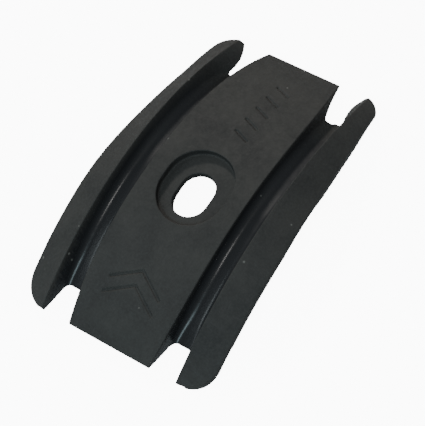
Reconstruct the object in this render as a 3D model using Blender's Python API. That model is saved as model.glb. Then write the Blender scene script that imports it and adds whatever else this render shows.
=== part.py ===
"""Cable guide that screws under a bicycle's bottom-bracket shell.

The guide is one moulding. Its frame is X along the cables, Y across them and Z up, away from
the shell. The origin is under the middle of the part, level with the lowest points of its wings.

The top is a shallow arch along X. A raised centre block carries the screw slot. A U-shaped
channel runs along each side of the block, and a thin wing slopes down and out beyond each
channel. The channel floors are more strongly arched than the top, so they run out through the
flat ends of the underside and leave a notch at each end. A round saddle across the underside
sits on the shell.
"""

import math

import bmesh
import bpy
from mathutils import Vector

MM = 0.001

# Overall form: the block's ends are thin tips, and stand a little above the wings' corners
LENGTH = 52.0 * MM
CROWN_HEIGHT = 8.2 * MM
END_LIFT = 0.9 * MM
TIP_THICKNESS = 0.35 * MM

# Plan widths at mid-length
BLOCK_WIDTH = 16.4 * MM
CHANNEL_WIDTH = 3.83 * MM
WING_WIDTH = 4.52 * MM

# How far the block's and the ridges' edges have moved in towards the centre line at the rear
# (-X) and front (+X) end, and the power of the curves that take them there
BLOCK_TAPER_REAR = 1.1 * MM
BLOCK_TAPER_FRONT = 1.9 * MM
BLOCK_POWER = 3.5
RIDGE_TAPER_REAR = 0.15 * MM
RIDGE_TAPER_FRONT = 0.5 * MM
RIDGE_POWER = 2.0

# The wings' outer edges come in from their widest place towards each end
WIDEST_X = -8.0 * MM
WING_TAPER_REAR = 0.33 * MM
WING_TAPER_FRONT = 2.8 * MM
WING_POWER_REAR = 2.0
WING_POWER_FRONT = 1.6

# Channels: the floor's arch is set back along X, and the outer walls lean out at the front mouth
CHANNEL_DEPTH = 1.9 * MM
NOTCH_LENGTH = 5.42 * MM
FLOOR_OFFSET = -0.37 * MM
FLOOR_FILLET = 1.25 * MM
MOUTH_FILLET = 0.75 * MM
MOUTH_REACH = 10.0 * MM
FLOOR_UNDERCUT = 1.5 * MM
INNER_DRAFT = math.radians(5.0)
OUTER_DRAFT = math.radians(15.0)
MOUTH_INNER_FLARE = math.radians(4.0)
MOUTH_OUTER_FLARE = math.radians(28.0)
MOUTH_START = 17.5 * MM
MOUTH_END = 25.0 * MM

# Wings
RIDGE_RISE = 0.4 * MM
WING_SLOPE_REAR = math.radians(22.0)
WING_SLOPE_MIDDLE = math.radians(34.0)
WING_SLOPE_FRONT = math.radians(14.0)
STEEPER_START = -8.0 * MM
STEEPER_END = 12.0 * MM
SHALLOWER_START = 15.0 * MM
SHALLOWER_END = 26.0 * MM
WING_THICKNESS = 0.9 * MM
WING_ROOT = 1.1 * MM
REAR_CORNER_RADIUS = 4.3 * MM
FRONT_CORNER_RADIUS = 2.8 * MM

# Screw slot, cut for an M5 screw with its head and washer sunk in
SLOT_OFFSET = -2.1 * MM
SLOT_LENGTH = 7.3 * MM
SLOT_WIDTH = 5.3 * MM
COUNTERBORE_OFFSET = -1.3 * MM
COUNTERBORE_LENGTH = 12.25 * MM
COUNTERBORE_WIDTH = 10.6 * MM
SEAT_DEPTH = 1.25 * MM
SEAT_THICKNESS = 1.1 * MM

# Underside: the saddle, and the thin tongue at the front of the block
SADDLE_RADIUS = 23.0 * MM
TONGUE_LENGTH = 6.15 * MM
TONGUE_THICKENING = 0.15
TONGUE_ROOT_FLARE = 1.5 * MM
TONGUE_REACH = 9.0 * MM

# How finely curves are divided, and how far cutters run past what they cut
STATIONS = 44
FILLET_STEPS = 4
ROUND_STEPS = 12
TONGUE_STEPS = 8
SADDLE_SEGMENTS = 96
OVERRUN = 1.5 * MM

# Points closer than this after the cuts are one point
MERGE_REACH = 0.002 * MM

# Derived sizes
HALF_LENGTH = LENGTH / 2
BLOCK_HALF = BLOCK_WIDTH / 2
RIDGE_HALF = BLOCK_HALF + CHANNEL_WIDTH
OUTER_HALF = RIDGE_HALF + WING_WIDTH
CUTTER_FLOOR = -2 * CROWN_HEIGHT


def arc_radius(half_chord, rise):
    """Radius of the arc that rises by this much over this half chord."""
    return (half_chord**2 + rise**2) / (2 * rise)


TOP_RADIUS = arc_radius(HALF_LENGTH, CROWN_HEIGHT - END_LIFT - TIP_THICKNESS)
FLOOR_RADIUS = arc_radius(HALF_LENGTH - NOTCH_LENGTH, CROWN_HEIGHT - END_LIFT - CHANNEL_DEPTH)


def arc_drop(radius, x):
    """How far an arc has fallen below its crown at x."""
    return radius - math.sqrt(radius**2 - x**2)


def ramp(x, start, end):
    """Smooth rise from 0 at start to 1 at end."""
    share = min(max((x - start) / (end - start), 0.0), 1.0)
    return (1 - math.cos(math.pi * share)) / 2


def top_height(x):
    return CROWN_HEIGHT - arc_drop(TOP_RADIUS, x)


def floor_height(x):
    """Height of the channels' floors, which stop falling once they are well below the ends."""
    arch = CROWN_HEIGHT - CHANNEL_DEPTH - arc_drop(FLOOR_RADIUS, x - FLOOR_OFFSET)
    return max(arch, END_LIFT - FLOOR_UNDERCUT)


def bowed(middle, taper_rear, taper_front, power, x):
    """Half width of an edge that bows outwards between two narrower ends."""
    taper = taper_rear if x < 0 else taper_front
    return middle - taper * (abs(x) / HALF_LENGTH) ** power


def block_edge(x):
    return bowed(BLOCK_HALF, BLOCK_TAPER_REAR, BLOCK_TAPER_FRONT, BLOCK_POWER, x)


def ridge_edge(x):
    return bowed(RIDGE_HALF, RIDGE_TAPER_REAR, RIDGE_TAPER_FRONT, RIDGE_POWER, x)


def outer_edge(x):
    """Half width over both wings, whose widest place is a little behind the middle."""
    if x < WIDEST_X:
        share = (WIDEST_X - x) / (HALF_LENGTH + WIDEST_X)
        return OUTER_HALF - WING_TAPER_REAR * share**WING_POWER_REAR
    share = (x - WIDEST_X) / (HALF_LENGTH - WIDEST_X)
    return OUTER_HALF - WING_TAPER_FRONT * share**WING_POWER_FRONT


def floor_fillet(x):
    """Fillet radius of the channels' floors, which is smaller in the last stretch to each mouth."""
    mouth = ramp(abs(x), HALF_LENGTH - MOUTH_REACH, HALF_LENGTH - NOTCH_LENGTH)
    return FLOOR_FILLET + (MOUTH_FILLET - FLOOR_FILLET) * mouth


def inner_draft(x):
    return INNER_DRAFT + MOUTH_INNER_FLARE * ramp(x, MOUTH_START, MOUTH_END)


def outer_draft(x):
    return OUTER_DRAFT + MOUTH_OUTER_FLARE * ramp(x, MOUTH_START, MOUTH_END)


def wing_slope(x):
    """Angle at which the wings fall away, which is steepest in front of the slot."""
    steeper = (WING_SLOPE_MIDDLE - WING_SLOPE_REAR) * ramp(x, STEEPER_START, STEEPER_END)
    shallower = (WING_SLOPE_MIDDLE - WING_SLOPE_FRONT) * ramp(x, SHALLOWER_START, SHALLOWER_END)
    return WING_SLOPE_REAR + steeper - shallower


def wing_height(x, y):
    """Height of a wing's upper face, which falls away outside the ridge."""
    return top_height(x) + RIDGE_RISE - (y - ridge_edge(x)) * math.tan(wing_slope(x))


def fillet_points(corner_y, floor_z, radius, draft, side):
    """Arc that joins a drafted wall to the floor; side is +1 when the wall is at the smaller y."""
    turn = math.pi / 2 - draft
    centre_y = corner_y + side * radius * math.tan(turn / 2)
    centre_z = floor_z + radius
    points = []
    for step in range(FILLET_STEPS + 1):
        angle = turn * (1 - step / FILLET_STEPS)
        y = centre_y - side * radius * math.sin(angle)
        z = centre_z - radius * math.cos(angle)
        points.append((y, z))
    return points


def half_profile(x):
    """Upper outline of one half of the section at x, from the block's edge outwards."""
    block_y = block_edge(x)
    ridge_y = ridge_edge(x)
    top_z = top_height(x)
    ridge_z = top_z + RIDGE_RISE
    floor_z = floor_height(x)
    inner = inner_draft(x)
    outer = outer_draft(x)
    inner_y = block_y + (top_z - floor_z) * math.tan(inner)
    outer_y = ridge_y - (ridge_z - floor_z) * math.tan(outer)
    reach = math.tan((math.pi / 2 - inner) / 2) + math.tan((math.pi / 2 - outer) / 2)
    radius = min(floor_fillet(x), 0.95 * (outer_y - inner_y) / reach)
    rim_y = OUTER_HALF + OVERRUN
    points = [(block_y, top_z)]
    points += fillet_points(inner_y, floor_z, radius, inner, 1)
    points += reversed(fillet_points(outer_y, floor_z, radius, outer, -1))
    points += [(ridge_y, ridge_z), (rim_y, wing_height(x, rim_y))]
    return points


def body_section(x):
    """Whole closed section of the untrimmed body at x."""
    half = half_profile(x)
    rim_y = half[-1][0]
    left = [Vector((x, y, z)) for y, z in half]
    right = [Vector((x, -y, z)) for y, z in reversed(half)]
    base = [Vector((x, -rim_y, CUTTER_FLOOR)), Vector((x, rim_y, CUTTER_FLOOR))]
    return right + left + [base[1], base[0]]


def underside_section(x):
    """Section of the space below the part: flat in the middle, and up under each wing."""
    root_y = ridge_edge(x) + WING_ROOT
    rim_y = OUTER_HALF + 2 * OVERRUN
    drop = WING_THICKNESS / math.cos(wing_slope(x))
    half = [
        (root_y, END_LIFT),
        (root_y, wing_height(x, root_y) - drop),
        (rim_y, wing_height(x, rim_y) - drop),
        (rim_y, 2 * CUTTER_FLOOR),
    ]
    left = [Vector((x, y, z)) for y, z in half]
    right = [Vector((x, -y, z)) for y, z in reversed(half)]
    return right + left


def stations(reach):
    """Even places along X, from -reach to +reach."""
    return [reach * (2 * index / STATIONS - 1) for index in range(STATIONS + 1)]


def link(name, mesh, collection):
    obj = bpy.data.objects.new(name, mesh)
    collection.objects.link(obj)
    return obj


def loft(name, sections, collection):
    """Closed solid through a row of sections that all have the same number of points."""
    bm = bmesh.new()
    rings = [[bm.verts.new(point) for point in section] for section in sections]
    count = len(rings[0])
    for near, far in zip(rings, rings[1:]):
        for index in range(count):
            after = (index + 1) % count
            bm.faces.new((near[index], near[after], far[after], far[index]))
    bm.faces.new(rings[0])
    bm.faces.new(rings[-1])
    bmesh.ops.recalc_face_normals(bm, faces=bm.faces)
    mesh = bpy.data.meshes.new(name)
    bm.to_mesh(mesh)
    bm.free()
    return link(name, mesh, collection)


def prism(name, outline, low, high, collection):
    """Upright solid between two heights, from a flat closed outline."""
    curve = bpy.data.curves.new(name + "_outline", "CURVE")
    curve.dimensions = "2D"
    curve.fill_mode = "BOTH"
    curve.extrude = (high - low) / 2
    spline = curve.splines.new("POLY")
    spline.points.add(len(outline) - 1)
    for point, (x, y) in zip(spline.points, outline):
        point.co = (x, y, 0.0, 1.0)
    spline.use_cyclic_u = True
    flat = bpy.data.objects.new(name + "_outline", curve)
    collection.objects.link(flat)
    depsgraph = bpy.context.evaluated_depsgraph_get()
    mesh = bpy.data.meshes.new_from_object(flat.evaluated_get(depsgraph))
    bpy.data.objects.remove(flat)
    bm = bmesh.new()
    bm.from_mesh(mesh)
    bmesh.ops.remove_doubles(bm, verts=bm.verts, dist=1e-6)
    bmesh.ops.recalc_face_normals(bm, faces=bm.faces)
    bm.to_mesh(mesh)
    bm.free()
    obj = link(name, mesh, collection)
    obj.location.z = (low + high) / 2
    return obj


def obround(length, width, centre_x):
    """Outline of a round-ended slot that lies along X."""
    radius = width / 2
    reach = (length - width) / 2
    outline = []
    for side, start in ((1, -math.pi / 2), (-1, math.pi / 2)):
        for step in range(ROUND_STEPS + 1):
            angle = start + math.pi * step / ROUND_STEPS
            x = centre_x + side * reach + radius * math.cos(angle)
            outline.append((x, radius * math.sin(angle)))
    return outline


def corner(end, radius):
    """Rounded corner of the plan outline, from the side to the end at +X or -X."""
    straight = HALF_LENGTH - radius
    points = []
    for step in range(ROUND_STEPS // 2 + 1):
        angle = math.pi / 2 * step / (ROUND_STEPS // 2)
        x = end * (straight + radius * math.sin(angle))
        points.append((x, outer_edge(x) - radius * (1 - math.cos(angle))))
    return points


def plan_outline():
    """Outline seen from above: shaped sides, straight ends and rounded corners."""
    rear = corner(-1, REAR_CORNER_RADIUS)
    front = corner(1, FRONT_CORNER_RADIUS)
    start = rear[0][0]
    span = front[0][0] - start
    xs = [start + span * index / STATIONS for index in range(1, STATIONS)]
    side = rear[::-1] + [(x, outer_edge(x)) for x in xs] + front
    return side + [(x, -y) for x, y in reversed(side)]


def saddle_cylinder(collection):
    """Round bar across the part, as wide as the shell that the saddle sits on."""
    bm = bmesh.new()
    bmesh.ops.create_cone(
        bm,
        cap_ends=True,
        segments=SADDLE_SEGMENTS,
        radius1=SADDLE_RADIUS,
        radius2=SADDLE_RADIUS,
        depth=2 * (OUTER_HALF + OVERRUN),
    )
    mesh = bpy.data.meshes.new("saddle_cutter")
    bm.to_mesh(mesh)
    bm.free()
    obj = link("saddle_cutter", mesh, collection)
    obj.rotation_euler.x = math.pi / 2
    obj.location.z = CROWN_HEIGHT - SEAT_DEPTH - SEAT_THICKNESS - SADDLE_RADIUS
    return obj


def resting_block(collection):
    """Everything below the surface that the wings' corners rest on."""
    bm = bmesh.new()
    bmesh.ops.create_cube(bm, size=1.0)
    depth = OVERRUN - 2 * CUTTER_FLOOR
    size = Vector((2 * LENGTH, 4 * OUTER_HALF, depth))
    bmesh.ops.scale(bm, vec=size, verts=bm.verts)
    mesh = bpy.data.meshes.new("resting_cutter")
    bm.to_mesh(mesh)
    bm.free()
    obj = link("resting_cutter", mesh, collection)
    obj.location.z = -depth / 2
    return obj


def tongue_section(x):
    """Section of the space under the block's thin front tongue."""
    short_of_tip = max(HALF_LENGTH - x, 0.0)
    thickness = TIP_THICKNESS + short_of_tip * TONGUE_THICKENING
    thickness += TONGUE_ROOT_FLARE * (short_of_tip / TONGUE_LENGTH) ** 3
    side_y = TONGUE_REACH
    low = CUTTER_FLOOR / 2
    high = top_height(x) - thickness
    corners = [(-side_y, low), (-side_y, high), (side_y, high), (side_y, low)]
    return [Vector((x, y, z)) for y, z in corners]


def boolean(target, cutter, operation):
    """Cut by a manifold solver: on the lofted arches' shallow facets, the exact one leaves gaps."""
    modifier = target.modifiers.new(operation.lower() + "_" + cutter.name, "BOOLEAN")
    modifier.operation = operation
    modifier.solver = "MANIFOLD"
    modifier.object = cutter
    cutter.hide_render = True
    cutter.display_type = "WIRE"


def black_plastic():
    material = bpy.data.materials.new("black_plastic")
    material.use_nodes = True
    shader = material.node_tree.nodes["Principled BSDF"]
    shader.inputs["Base Color"].default_value = (0.022, 0.023, 0.024, 1.0)
    shader.inputs["Roughness"].default_value = 0.5
    shader.inputs["Metallic"].default_value = 0.0
    return material


def build_guide(parts, cutters):
    along = stations(HALF_LENGTH + OVERRUN)
    guide = loft("cable_guide", [body_section(x) for x in along], parts)
    guide.data.materials.append(black_plastic())

    plan = prism("plan_cutter", plan_outline(), CUTTER_FLOOR - OVERRUN, 2 * CROWN_HEIGHT, cutters)
    boolean(guide, plan, "INTERSECT")

    past_ends = stations(HALF_LENGTH + 2 * OVERRUN)
    underside = [underside_section(x) for x in past_ends]
    boolean(guide, loft("underside_cutter", underside, cutters), "DIFFERENCE")
    boolean(guide, resting_block(cutters), "DIFFERENCE")
    boolean(guide, saddle_cylinder(cutters), "DIFFERENCE")

    tongue_root = HALF_LENGTH - TONGUE_LENGTH
    tongue_span = TONGUE_LENGTH + OVERRUN
    tongue_xs = [tongue_root + tongue_span * index / TONGUE_STEPS for index in range(TONGUE_STEPS + 1)]
    tongue = loft("tongue_cutter", [tongue_section(x) for x in tongue_xs], cutters)
    boolean(guide, tongue, "DIFFERENCE")

    seat_z = CROWN_HEIGHT - SEAT_DEPTH
    counterbore = obround(COUNTERBORE_LENGTH, COUNTERBORE_WIDTH, COUNTERBORE_OFFSET)
    top = CROWN_HEIGHT + OVERRUN
    counterbore_cutter = prism("counterbore_cutter", counterbore, seat_z, top, cutters)
    boolean(guide, counterbore_cutter, "DIFFERENCE")
    slot = obround(SLOT_LENGTH, SLOT_WIDTH, SLOT_OFFSET)
    slot_cutter = prism("slot_cutter", slot, -OVERRUN, top, cutters)
    boolean(guide, slot_cutter, "DIFFERENCE")

    weld = guide.modifiers.new("join_near_points", "WELD")
    weld.merge_threshold = MERGE_REACH
    guide.data.shade_smooth()
    guide.data.set_sharp_from_angle(angle=math.radians(30))
    return guide


def clear_scene():
    for obj in list(bpy.data.objects):
        bpy.data.objects.remove(obj)


def main():
    clear_scene()
    parts = bpy.data.collections.new("cable_guide_part")
    cutters = bpy.data.collections.new("cutters")
    bpy.context.scene.collection.children.link(parts)
    bpy.context.scene.collection.children.link(cutters)
    build_guide(parts, cutters)


main()
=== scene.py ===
"""Looks for the under-shell cable guide: one black moulded plastic piece on a pale floor.

The guide is built again here as a fine mesh of the same shape as its CAD solid, with softened
edges, rounded channel mouths and shallow moulded marks, and it stands in for the CAD node.
Lengths are in millimetres until the finished mesh is scaled to metres.
"""

import math

import bmesh
import bpy
from mathutils import Matrix, Vector


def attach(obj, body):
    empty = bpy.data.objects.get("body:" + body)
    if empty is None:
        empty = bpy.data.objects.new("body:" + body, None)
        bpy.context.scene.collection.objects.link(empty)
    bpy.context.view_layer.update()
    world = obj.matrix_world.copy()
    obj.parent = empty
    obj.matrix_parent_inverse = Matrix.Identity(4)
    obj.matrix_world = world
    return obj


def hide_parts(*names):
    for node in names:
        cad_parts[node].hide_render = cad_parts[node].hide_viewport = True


MM = 0.001

# Camera: what it looks at, its bearing from +X and height angle, its roll, distance and lens
CAMERA_TARGET = Vector((-2.53, -3.11, 4.9)) * MM
CAMERA_BEARING = math.radians(231.95)
CAMERA_ELEVATION = math.radians(59.0)
CAMERA_ROLL = math.radians(-20.83)
CAMERA_DISTANCE = 250 * MM
CAMERA_LENS = 147.96
SENSOR_WIDTH = 36.0
NEAREST_SEEN = 10 * MM
FARTHEST_SEEN = 100.0

# Overall form
LENGTH = 52.0
CROWN_HEIGHT = 8.2
END_LIFT = 0.9
TIP_THICKNESS = 0.35
BLOCK_WIDTH = 16.4
CHANNEL_WIDTH = 3.83
WING_WIDTH = 4.52

# Plan curves of the block's, the ridges' and the wings' edges
BLOCK_TAPER_REAR = 1.1
BLOCK_TAPER_FRONT = 1.9
BLOCK_POWER = 3.5
RIDGE_TAPER_REAR = 0.15
RIDGE_TAPER_FRONT = 0.5
RIDGE_POWER = 2.0
WIDEST_X = -8.0
WING_TAPER_REAR = 0.33
WING_TAPER_FRONT = 2.8
WING_POWER_REAR = 2.0
WING_POWER_FRONT = 1.6

# Channels
CHANNEL_DEPTH = 1.9
NOTCH_LENGTH = 5.42
FLOOR_OFFSET = -0.37
FLOOR_FILLET = 1.25
MOUTH_FILLET = 0.75
MOUTH_REACH = 10.0
FLOOR_UNDERCUT = 1.5
INNER_DRAFT = math.radians(5.0)
OUTER_DRAFT = math.radians(15.0)
MOUTH_INNER_FLARE = math.radians(4.0)
MOUTH_OUTER_FLARE = math.radians(28.0)
MOUTH_START = 17.5
MOUTH_END = 25.0

# Wings
RIDGE_RISE = 0.4
WING_SLOPE_REAR = math.radians(22.0)
WING_SLOPE_MIDDLE = math.radians(34.0)
WING_SLOPE_FRONT = math.radians(14.0)
STEEPER_START = -8.0
STEEPER_END = 12.0
SHALLOWER_START = 15.0
SHALLOWER_END = 26.0
WING_THICKNESS = 0.9
WING_ROOT = 1.1
REAR_CORNER_RADIUS = 4.3
FRONT_CORNER_RADIUS = 2.8

# Screw slot
SLOT_OFFSET = -2.1
SLOT_LENGTH = 7.3
SLOT_WIDTH = 5.3
COUNTERBORE_OFFSET = -1.3
COUNTERBORE_LENGTH = 12.25
COUNTERBORE_WIDTH = 10.6
SEAT_DEPTH = 1.25
SEAT_THICKNESS = 1.1

# Underside
SADDLE_RADIUS = 23.0
TONGUE_LENGTH = 6.15
TONGUE_THICKENING = 0.15
TONGUE_ROOT_FLARE = 1.5
TONGUE_REACH = 9.0

# Shallow moulded marks on the block: chevrons at the rear, slanted bars at the front
MARK_DEPTH = 0.22
MARK_WIDTH = 0.42
CHEVRON_TIPS = (-15.4, -17.6)
CHEVRON_HALF_WIDTH = 4.4
CHEVRON_SWEEP = 2.6
BAR_STARTS = (8.6, 11.2, 13.8, 16.4, 19.0)
BAR_LEAN = 1.1
BAR_NEAR = -2.3
BAR_FAR = 0.5

# How finely the shape is divided, how far cutters run past what they cut, and the final mesh
STATIONS = 240
FILLET_STEPS = 12
ROUND_STEPS = 48
SADDLE_SEGMENTS = 360
MARK_STEPS = 12
TONGUE_STEPS = 12
OVERRUN = 1.5
FILLET_ROOM = 0.95
VOXEL = 0.115
SMOOTHING = 0.5
SMOOTHING_PASSES = 2
MOST_TRIANGLES = 190000

# Channels' smoother finish and painted shade: how wide its edge is, and where it and the cable's
# polish fade towards +X
CHANNEL_EDGE = 0.15
FADE_START = 13.0
FADE_END = 19.0
POLISH_FADE_START = -3.0
POLISH_FADE_END = 7.0

# Lights: name, bearing and height angle, distance and width in metres, watts, colour
LIGHTS = (
    ("key", 42, 32, 0.6, 0.07, 2.0, (1.0, 0.94, 0.87)),
    ("side_fill", 118, 40, 0.6, 0.25, 0.9, (0.86, 0.97, 1.0)),
    ("overhead", 262, 74, 0.6, 0.04, 0.85, (1.0, 0.98, 0.95)),
    ("cool_fill", 196, 46, 0.6, 0.25, 1.9, (0.7, 0.93, 1.0)),
)
WORLD_COLOUR = (1.0, 0.99, 0.97, 1.0)
WORLD_STRENGTH = 0.24

# Floor: half its side in metres, its colour, and its own glow, which lights nothing but itself
FLOOR_HALF = 2.0
FLOOR_COLOUR = (0.9, 0.9, 0.9, 1.0)
FLOOR_GLOW_COLOUR = (1.0, 1.0, 1.0, 1.0)
FLOOR_GLOW = 10.0

# Plastic: linear colours, roughness with its variation, and reflectivity
PLASTIC_DARK = (0.019, 0.0195, 0.0195, 1.0)
PLASTIC_LIGHT = (0.028, 0.028, 0.027, 1.0)
PLASTIC_GRAIN = (0.04, 0.04, 0.039, 1.0)
# Painted shade: a darker, cooler colour put into the channels' recesses
CHANNEL_PAINTED_SHADE = (0.018, 0.0185, 0.0205, 1.0)
SPECK_COLOUR = (0.16, 0.16, 0.15, 1.0)
BODY_ROUGHNESS = 0.72
BODY_ROUGHNESS_SPREAD = 0.06
CHANNEL_ROUGHNESS = 0.27
CHANNEL_ROUGHNESS_SPREAD = 0.04
SPECULAR_LEVEL = 0.22
GRAIN_SHARE = 0.35
SPECK_SHARE = 0.6

# Plastic texture: pattern scales per metre, and the height and strength of its bumps
CLOUD_SCALE = 160.0
GRAIN_SCALE = 2600.0
COARSE_SCALE = 900.0
SPECK_SCALE = 420.0
SPECK_CHOICE_SCALE = 300.0
BUMP_HEIGHT = 0.00006
BODY_BUMP = 0.28
CHANNEL_BUMP = 0.06

# Derived sizes
HALF_LENGTH = LENGTH / 2
BLOCK_HALF = BLOCK_WIDTH / 2
RIDGE_HALF = BLOCK_HALF + CHANNEL_WIDTH
OUTER_HALF = RIDGE_HALF + WING_WIDTH
CUTTER_FLOOR = -2 * CROWN_HEIGHT


def make_camera():
    """Camera on a sphere round its target, turned about its own axis."""
    data = bpy.data.cameras.new("camera")
    data.lens = CAMERA_LENS
    data.sensor_width = SENSOR_WIDTH
    data.clip_start = NEAREST_SEEN
    data.clip_end = FARTHEST_SEEN
    camera = bpy.data.objects.new("camera", data)
    bpy.context.scene.collection.objects.link(camera)
    camera.matrix_world = (
        Matrix.Translation(CAMERA_TARGET)
        @ Matrix.Rotation(CAMERA_BEARING + math.pi / 2, 4, "Z")
        @ Matrix.Rotation(math.pi / 2 - CAMERA_ELEVATION, 4, "X")
        @ Matrix.Rotation(CAMERA_ROLL, 4, "Z")
        @ Matrix.Translation((0, 0, CAMERA_DISTANCE))
    )
    bpy.context.scene.camera = camera


def arc_radius(half_chord, rise):
    """Radius of the arc that rises by this much over this half chord."""
    return (half_chord**2 + rise**2) / (2 * rise)


TOP_RADIUS = arc_radius(HALF_LENGTH, CROWN_HEIGHT - END_LIFT - TIP_THICKNESS)
FLOOR_RADIUS = arc_radius(HALF_LENGTH - NOTCH_LENGTH, CROWN_HEIGHT - END_LIFT - CHANNEL_DEPTH)


def arc_drop(radius, x):
    """How far an arc has fallen below its crown at x."""
    return radius - math.sqrt(radius**2 - x**2)


def ramp(x, start, end):
    """Smooth rise from 0 at start to 1 at end."""
    share = min(max((x - start) / (end - start), 0.0), 1.0)
    return (1 - math.cos(math.pi * share)) / 2


def top_height(x):
    return CROWN_HEIGHT - arc_drop(TOP_RADIUS, x)


def floor_height(x):
    """Height of the channels' floors, which stop falling once they are well below the ends."""
    arch = CROWN_HEIGHT - CHANNEL_DEPTH - arc_drop(FLOOR_RADIUS, x - FLOOR_OFFSET)
    return max(arch, END_LIFT - FLOOR_UNDERCUT)


def bowed(middle, taper_rear, taper_front, power, x):
    """Half width of an edge that bows outwards between two narrower ends."""
    taper = taper_rear if x < 0 else taper_front
    return middle - taper * (abs(x) / HALF_LENGTH) ** power


def block_edge(x):
    return bowed(BLOCK_HALF, BLOCK_TAPER_REAR, BLOCK_TAPER_FRONT, BLOCK_POWER, x)


def ridge_edge(x):
    return bowed(RIDGE_HALF, RIDGE_TAPER_REAR, RIDGE_TAPER_FRONT, RIDGE_POWER, x)


def outer_edge(x):
    """Half width over both wings, whose widest place is a little behind the middle."""
    if x < WIDEST_X:
        share = (WIDEST_X - x) / (HALF_LENGTH + WIDEST_X)
        return OUTER_HALF - WING_TAPER_REAR * share**WING_POWER_REAR
    share = (x - WIDEST_X) / (HALF_LENGTH - WIDEST_X)
    return OUTER_HALF - WING_TAPER_FRONT * share**WING_POWER_FRONT


def floor_fillet(x):
    """Fillet radius of the channels' floors, which is smaller in the last stretch to each mouth."""
    mouth = ramp(abs(x), HALF_LENGTH - MOUTH_REACH, HALF_LENGTH - NOTCH_LENGTH)
    return FLOOR_FILLET + (MOUTH_FILLET - FLOOR_FILLET) * mouth


def inner_draft(x):
    return INNER_DRAFT + MOUTH_INNER_FLARE * ramp(x, MOUTH_START, MOUTH_END)


def outer_draft(x):
    return OUTER_DRAFT + MOUTH_OUTER_FLARE * ramp(x, MOUTH_START, MOUTH_END)


def wing_slope(x):
    """Angle at which the wings fall away, which is steepest in front of the slot."""
    steeper = (WING_SLOPE_MIDDLE - WING_SLOPE_REAR) * ramp(x, STEEPER_START, STEEPER_END)
    shallower = (WING_SLOPE_MIDDLE - WING_SLOPE_FRONT) * ramp(x, SHALLOWER_START, SHALLOWER_END)
    return WING_SLOPE_REAR + steeper - shallower


def wing_height(x, y):
    """Height of a wing's upper face, which falls away outside the ridge."""
    return top_height(x) + RIDGE_RISE - (y - ridge_edge(x)) * math.tan(wing_slope(x))


def fillet_points(corner_y, floor_z, radius, draft, side):
    """Arc that joins a drafted wall to the floor; side is +1 when the wall is at the smaller y."""
    turn = math.pi / 2 - draft
    centre_y = corner_y + side * radius * math.tan(turn / 2)
    centre_z = floor_z + radius
    points = []
    for step in range(FILLET_STEPS + 1):
        angle = turn * (1 - step / FILLET_STEPS)
        y = centre_y - side * radius * math.sin(angle)
        z = centre_z - radius * math.cos(angle)
        points.append((y, z))
    return points


def half_profile(x):
    """Upper outline of one half of the section at x, from the block's edge outwards."""
    block_y = block_edge(x)
    ridge_y = ridge_edge(x)
    top_z = top_height(x)
    ridge_z = top_z + RIDGE_RISE
    floor_z = floor_height(x)
    inner = inner_draft(x)
    outer = outer_draft(x)
    inner_y = block_y + (top_z - floor_z) * math.tan(inner)
    outer_y = ridge_y - (ridge_z - floor_z) * math.tan(outer)
    reach = math.tan((math.pi / 2 - inner) / 2) + math.tan((math.pi / 2 - outer) / 2)
    radius = min(floor_fillet(x), FILLET_ROOM * (outer_y - inner_y) / reach)
    rim_y = OUTER_HALF + OVERRUN
    points = [(block_y, top_z)]
    points += fillet_points(inner_y, floor_z, radius, inner, 1)
    points += reversed(fillet_points(outer_y, floor_z, radius, outer, -1))
    points += [(ridge_y, ridge_z), (rim_y, wing_height(x, rim_y))]
    return points


def body_section(x):
    """Whole closed section of the untrimmed body at x."""
    half = half_profile(x)
    rim_y = half[-1][0]
    left = [Vector((x, y, z)) for y, z in half]
    right = [Vector((x, -y, z)) for y, z in reversed(half)]
    base = [Vector((x, -rim_y, CUTTER_FLOOR)), Vector((x, rim_y, CUTTER_FLOOR))]
    return right + left + [base[1], base[0]]


def underside_section(x):
    """Section of the space below the part: flat in the middle, and up under each wing."""
    root_y = ridge_edge(x) + WING_ROOT
    rim_y = OUTER_HALF + 2 * OVERRUN
    drop = WING_THICKNESS / math.cos(wing_slope(x))
    half = [
        (root_y, END_LIFT),
        (root_y, wing_height(x, root_y) - drop),
        (rim_y, wing_height(x, rim_y) - drop),
        (rim_y, 2 * CUTTER_FLOOR),
    ]
    left = [Vector((x, y, z)) for y, z in half]
    right = [Vector((x, -y, z)) for y, z in reversed(half)]
    return right + left


def tongue_section(x):
    """Section of the space under the block's thin front tongue."""
    short_of_tip = max(HALF_LENGTH - x, 0.0)
    thickness = TIP_THICKNESS + short_of_tip * TONGUE_THICKENING
    thickness += TONGUE_ROOT_FLARE * (short_of_tip / TONGUE_LENGTH) ** 3
    side_y = TONGUE_REACH
    low = CUTTER_FLOOR / 2
    high = top_height(x) - thickness
    corners = [(-side_y, low), (-side_y, high), (side_y, high), (side_y, low)]
    return [Vector((x, y, z)) for y, z in corners]


def stations(reach):
    """Even places along X, from -reach to +reach."""
    return [reach * (2 * index / STATIONS - 1) for index in range(STATIONS + 1)]


def link(name, mesh):
    obj = bpy.data.objects.new(name, mesh)
    bpy.context.scene.collection.objects.link(obj)
    return obj


def loft(name, sections):
    """Closed solid through a row of sections that all have the same number of points."""
    bm = bmesh.new()
    rings = [[bm.verts.new(point) for point in section] for section in sections]
    count = len(rings[0])
    for near, far in zip(rings, rings[1:]):
        for index in range(count):
            after = (index + 1) % count
            bm.faces.new((near[index], near[after], far[after], far[index]))
    bm.faces.new(rings[0])
    bm.faces.new(rings[-1])
    bmesh.ops.recalc_face_normals(bm, faces=bm.faces)
    mesh = bpy.data.meshes.new(name)
    bm.to_mesh(mesh)
    bm.free()
    return link(name, mesh)


def prism(name, outline, low, high):
    """Upright solid between two heights, from a flat closed outline."""
    sections = [[Vector((x, y, z)) for x, y in outline] for z in (low, high)]
    return loft(name, sections)


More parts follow.
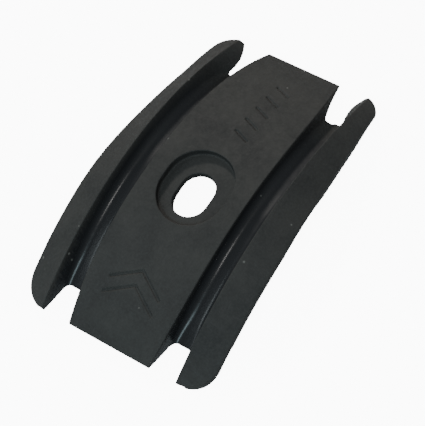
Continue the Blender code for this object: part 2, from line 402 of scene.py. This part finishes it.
def obround(length, width, centre_x):
    """Outline of a round-ended slot that lies along X."""
    radius = width / 2
    reach = (length - width) / 2
    outline = []
    for side, start in ((1, -math.pi / 2), (-1, math.pi / 2)):
        for step in range(ROUND_STEPS + 1):
            angle = start + math.pi * step / ROUND_STEPS
            x = centre_x + side * reach + radius * math.cos(angle)
            outline.append((x, radius * math.sin(angle)))
    return outline


def corner(end, radius):
    """Rounded corner of the plan outline, from the side to the end at +X or -X."""
    straight = HALF_LENGTH - radius
    points = []
    for step in range(ROUND_STEPS // 2 + 1):
        angle = math.pi / 2 * step / (ROUND_STEPS // 2)
        x = end * (straight + radius * math.sin(angle))
        points.append((x, outer_edge(x) - radius * (1 - math.cos(angle))))
    return points


def plan_outline():
    """Outline seen from above: shaped sides, straight ends and rounded corners."""
    rear = corner(-1, REAR_CORNER_RADIUS)
    front = corner(1, FRONT_CORNER_RADIUS)
    start = rear[0][0]
    span = front[0][0] - start
    xs = [start + span * index / STATIONS for index in range(1, STATIONS)]
    side = rear[::-1] + [(x, outer_edge(x)) for x in xs] + front
    return side + [(x, -y) for x, y in reversed(side)]


def saddle_section(y):
    """Round section of the shell that the saddle sits on."""
    centre_z = CROWN_HEIGHT - SEAT_DEPTH - SEAT_THICKNESS - SADDLE_RADIUS
    points = []
    for step in range(SADDLE_SEGMENTS):
        angle = 2 * math.pi * step / SADDLE_SEGMENTS
        x = SADDLE_RADIUS * math.cos(angle)
        points.append(Vector((x, y, centre_z + SADDLE_RADIUS * math.sin(angle))))
    return points


def groove(name, start, end):
    """Cutter for one straight shallow groove that follows the top of the block."""
    start, end = Vector(start), Vector(end)
    along = (end - start).normalized()
    across = Vector((-along.y, along.x)) * MARK_WIDTH / 2
    sections = []
    for step in range(MARK_STEPS + 1):
        centre = start.lerp(end, step / MARK_STEPS)
        near, far = centre - across, centre + across
        section = []
        low, high = -MARK_DEPTH, OVERRUN
        for place, rise in ((near, high), (near, low), (far, low), (far, high)):
            section.append(Vector((place.x, place.y, top_height(place.x) + rise)))
        sections.append(section)
    return loft(name, sections)


def mark_grooves():
    """Cutters for two chevrons and a row of slanted bars."""
    cutters = []
    for index, tip_x in enumerate(CHEVRON_TIPS):
        for side in (-1, 1):
            overlap = (tip_x + MARK_WIDTH / 4, -side * MARK_WIDTH / 4)
            wing = (tip_x - CHEVRON_SWEEP, side * CHEVRON_HALF_WIDTH)
            cutters.append(groove(f"chevron_{index}_{side}", overlap, wing))
    for index, start_x in enumerate(BAR_STARTS):
        near = (start_x, BAR_NEAR)
        far = (start_x + BAR_LEAN, BAR_FAR)
        cutters.append(groove(f"bar_{index}", near, far))
    return cutters


def cut(target, cutter, operation="DIFFERENCE"):
    """Apply one Boolean and discard its cutter."""
    modifier = target.modifiers.new("cut", "BOOLEAN")
    modifier.operation = operation
    modifier.solver = "MANIFOLD"
    modifier.object = cutter
    apply_modifiers(target)
    bpy.data.objects.remove(cutter)


def apply_modifiers(obj):
    depsgraph = bpy.context.evaluated_depsgraph_get()
    mesh = bpy.data.meshes.new_from_object(obj.evaluated_get(depsgraph))
    obj.modifiers.clear()
    old = obj.data
    obj.data = mesh
    bpy.data.meshes.remove(old)


def soften(obj):
    """Remesh evenly and smooth, which rounds every edge as a mould does."""
    remesh = obj.modifiers.new("even", "REMESH")
    remesh.mode = "VOXEL"
    remesh.voxel_size = VOXEL
    apply_modifiers(obj)
    smooth = obj.modifiers.new("soft", "SMOOTH")
    smooth.factor = SMOOTHING
    smooth.iterations = SMOOTHING_PASSES
    thin = obj.modifiers.new("thin", "DECIMATE")
    thin.ratio = MOST_TRIANGLES / (2 * len(obj.data.polygons))
    apply_modifiers(obj)


def mark_channels(mesh):
    """Store how far each point is inside a channel, for the painted shade there, and where the
    cable has polished it.
    """
    shares, polish = [], []
    for vertex in mesh.vertices:
        x, y, z = vertex.co
        x = min(max(x, -HALF_LENGTH), HALF_LENGTH)
        y = abs(y)
        depth = top_height(x) - z
        between = block_edge(x) - CHANNEL_EDGE < y < ridge_edge(x) + CHANNEL_EDGE
        inside = between and vertex.normal.z > 0
        # Painted shade share: darker deeper below the top, fading out towards the mouths at +X
        share = ramp(depth, CHANNEL_EDGE, 3 * CHANNEL_EDGE) * (1 - ramp(x, FADE_START, FADE_END))
        shares.append(share if inside else 0.0)
        polish.append(shares[-1] * (1 - ramp(x, POLISH_FADE_START, POLISH_FADE_END)))
    for name, values in (("channel", shares), ("polish", polish)):
        attribute = mesh.attributes.new(name, "FLOAT", "POINT")
        attribute.data.foreach_set("value", values)


def build_guide():
    """Loft the arch, cut its outline, underside and slot, press the marks in, and soften it."""
    along = stations(HALF_LENGTH + OVERRUN)
    guide = loft("guide_moulding", [body_section(x) for x in along])
    cut(guide, prism("plan", plan_outline(), CUTTER_FLOOR - OVERRUN, 2 * CROWN_HEIGHT), "INTERSECT")
    past_ends = stations(HALF_LENGTH + 2 * OVERRUN)
    cut(guide, loft("underside", [underside_section(x) for x in past_ends]))
    rest = [(-LENGTH, -LENGTH), (LENGTH, -LENGTH), (LENGTH, LENGTH), (-LENGTH, LENGTH)]
    cut(guide, prism("rest", rest, 3 * CUTTER_FLOOR, 0.0))
    reach = OUTER_HALF + OVERRUN
    cut(guide, loft("saddle", [saddle_section(-reach), saddle_section(reach)]))
    root = HALF_LENGTH - TONGUE_LENGTH
    past_tip = TONGUE_LENGTH + OVERRUN
    tongue_xs = [root + past_tip * index / TONGUE_STEPS for index in range(TONGUE_STEPS + 1)]
    cut(guide, loft("tongue", [tongue_section(x) for x in tongue_xs]))
    top = CROWN_HEIGHT + OVERRUN
    counterbore = obround(COUNTERBORE_LENGTH, COUNTERBORE_WIDTH, COUNTERBORE_OFFSET)
    cut(guide, prism("counterbore", counterbore, CROWN_HEIGHT - SEAT_DEPTH, top))
    cut(guide, prism("slot", obround(SLOT_LENGTH, SLOT_WIDTH, SLOT_OFFSET), -OVERRUN, top))
    for cutter in mark_grooves():
        cut(guide, cutter)
    soften(guide)
    mark_channels(guide.data)
    guide.data.materials.clear()
    guide.data.transform(Matrix.Scale(MM, 4))
    guide.data.shade_smooth()
    return guide


def sphere_place(bearing, elevation, distance):
    """Point at this distance from the origin, by bearing from +X and height angle in degrees."""
    bearing, elevation = math.radians(bearing), math.radians(elevation)
    level = math.cos(elevation)
    across = Vector((level * math.cos(bearing), level * math.sin(bearing), math.sin(elevation)))
    return across * distance


def add_lights():
    for name, bearing, elevation, distance, width, watts, colour in LIGHTS:
        data = bpy.data.lights.new(name, "AREA")
        data.shape = "DISK"
        data.size = width
        data.energy = watts
        data.color = colour
        light = bpy.data.objects.new(name, data)
        light.location = sphere_place(bearing, elevation, distance)
        light.rotation_euler = light.location.to_track_quat("Z", "Y").to_euler()
        bpy.context.scene.collection.objects.link(light)


def add_world():
    world = bpy.data.worlds.new("studio")
    bpy.context.scene.world = world
    world.use_nodes = True
    background = world.node_tree.nodes["Background"]
    background.inputs["Color"].default_value = WORLD_COLOUR
    background.inputs["Strength"].default_value = WORLD_STRENGTH


def add_floor():
    """Pale floor whose glow reaches only itself, so the part's shading comes from the lights."""
    mesh = bpy.data.meshes.new("floor")
    corners = [(-1, -1), (1, -1), (1, 1), (-1, 1)]
    points = [(x * FLOOR_HALF, y * FLOOR_HALF, 0) for x, y in corners]
    mesh.from_pydata(points, [], [(0, 1, 2, 3)])
    floor = link("floor", mesh)
    material = bpy.data.materials.new("floor")
    material.use_nodes = True
    shader = material.node_tree.nodes["Principled BSDF"]
    shader.inputs["Base Color"].default_value = FLOOR_COLOUR
    shader.inputs["Roughness"].default_value = 1.0
    shader.inputs["Emission Color"].default_value = FLOOR_GLOW_COLOUR
    shader.inputs["Emission Strength"].default_value = FLOOR_GLOW
    mesh.materials.append(material)
    lit_by_glow = bpy.data.collections.new("lit_by_floor_glow")
    lit_by_glow.objects.link(floor)
    floor.light_linking.receiver_collection = lit_by_glow


class Nodes:
    """Short calls for building one material's node tree."""

    def __init__(self, material):
        self.tree = material.node_tree

    def feed(self, socket, value):
        """Link another node's output to a socket, or set the socket's own value."""
        if isinstance(value, bpy.types.NodeSocket):
            self.tree.links.new(value, socket)
        else:
            socket.default_value = value

    def add(self, kind, settings=None, **values):
        node = self.tree.nodes.new(kind)
        for key, value in (settings or {}).items():
            setattr(node, key, value)
        for key, value in values.items():
            self.feed(node.inputs[key.replace("_", " ")], value)
        return node

    def noise(self, place, scale, detail):
        node = self.add("ShaderNodeTexNoise", Vector=place, Scale=scale, Detail=detail)
        return node.outputs["Fac"]

    def remap(self, value, low, high, to_low, to_high):
        node = self.add(
            "ShaderNodeMapRange",
            Value=value,
            From_Min=low,
            From_Max=high,
            To_Min=to_low,
            To_Max=to_high,
        )
        return node.outputs["Result"]

    def vary(self, noise, middle, spread):
        """A value that follows a noise, up to this far either side of the middle."""
        return self.remap(noise, 0.3, 0.7, middle - spread, middle + spread)

    def blend(self, share, first, second):
        """Mix of two colours, from sockets or values."""
        node = self.add("ShaderNodeMix", {"data_type": "RGBA"})
        for index, value in ((0, share), (6, first), (7, second)):
            self.feed(node.inputs[index], value)
        return node.outputs[2]

    def maths(self, operation, first, second):
        node = self.add("ShaderNodeMath", {"operation": operation})
        for index, value in enumerate((first, second)):
            self.feed(node.inputs[index], value)
        return node.outputs["Value"]


def plastic_material():
    """Matte black plastic with a fine eroded texture, smoother and glossier in the channels, where
    shade is painted in as a darker colour.
    """
    material = bpy.data.materials.new("black_moulded_plastic")
    material.use_nodes = True
    nodes = Nodes(material)
    shader = material.node_tree.nodes["Principled BSDF"]
    place = nodes.add("ShaderNodeTexCoord").outputs["Object"]
    channel = nodes.add("ShaderNodeAttribute", {"attribute_name": "channel"}).outputs["Fac"]
    polish = nodes.add("ShaderNodeAttribute", {"attribute_name": "polish"}).outputs["Fac"]

    cloudy = nodes.noise(place, CLOUD_SCALE, 3.0)
    grain = nodes.noise(place, GRAIN_SCALE, 2.0)
    coarse = nodes.noise(place, COARSE_SCALE, 2.0)
    cells = nodes.add("ShaderNodeTexVoronoi", Vector=place, Scale=SPECK_SCALE)
    speck = nodes.remap(cells.outputs["Distance"], 0.06, 0.1, 1.0, 0.0)
    chosen = nodes.remap(nodes.noise(place, SPECK_CHOICE_SCALE, 0.0), 0.6, 0.64, 0.0, 1.0)
    speck = nodes.maths("MULTIPLY", speck, chosen)

    body = nodes.blend(nodes.remap(cloudy, 0.35, 0.65, 0.0, 1.0), PLASTIC_DARK, PLASTIC_LIGHT)
    body = nodes.blend(nodes.remap(grain, 0.3, 0.7, 0.0, GRAIN_SHARE), body, PLASTIC_GRAIN)
    # Painted shade: the channels are blended towards a darker, cooler colour
    body = nodes.blend(channel, body, CHANNEL_PAINTED_SHADE)
    body = nodes.blend(nodes.maths("MULTIPLY", speck, SPECK_SHARE), body, SPECK_COLOUR)
    material.node_tree.links.new(body, shader.inputs["Base Color"])

    rough = nodes.vary(coarse, BODY_ROUGHNESS, BODY_ROUGHNESS_SPREAD)
    smooth = nodes.vary(coarse, CHANNEL_ROUGHNESS, CHANNEL_ROUGHNESS_SPREAD)
    gloss = nodes.maths("MULTIPLY", nodes.maths("SUBTRACT", smooth, rough), polish)
    material.node_tree.links.new(nodes.maths("ADD", rough, gloss), shader.inputs["Roughness"])

    fine_part = nodes.maths("MULTIPLY", grain, 0.6)
    texture = nodes.maths("ADD", fine_part, nodes.maths("MULTIPLY", coarse, 0.4))
    strength = nodes.remap(channel, 0.0, 1.0, BODY_BUMP, CHANNEL_BUMP)
    bump = nodes.add("ShaderNodeBump", Height=texture, Distance=BUMP_HEIGHT, Strength=strength)
    material.node_tree.links.new(bump.outputs["Normal"], shader.inputs["Normal"])
    shader.inputs["Specular IOR Level"].default_value = SPECULAR_LEVEL
    return material


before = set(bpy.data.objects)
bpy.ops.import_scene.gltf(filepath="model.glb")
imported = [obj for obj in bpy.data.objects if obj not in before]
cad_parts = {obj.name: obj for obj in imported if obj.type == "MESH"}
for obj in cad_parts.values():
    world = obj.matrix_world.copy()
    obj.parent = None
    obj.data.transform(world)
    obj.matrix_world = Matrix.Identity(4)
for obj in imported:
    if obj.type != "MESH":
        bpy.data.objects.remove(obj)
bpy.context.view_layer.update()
make_camera()
add_floor()
add_world()
add_lights()

guide = build_guide()
guide.data.materials.append(plastic_material())
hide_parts("cable_guide")
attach(guide, "root")
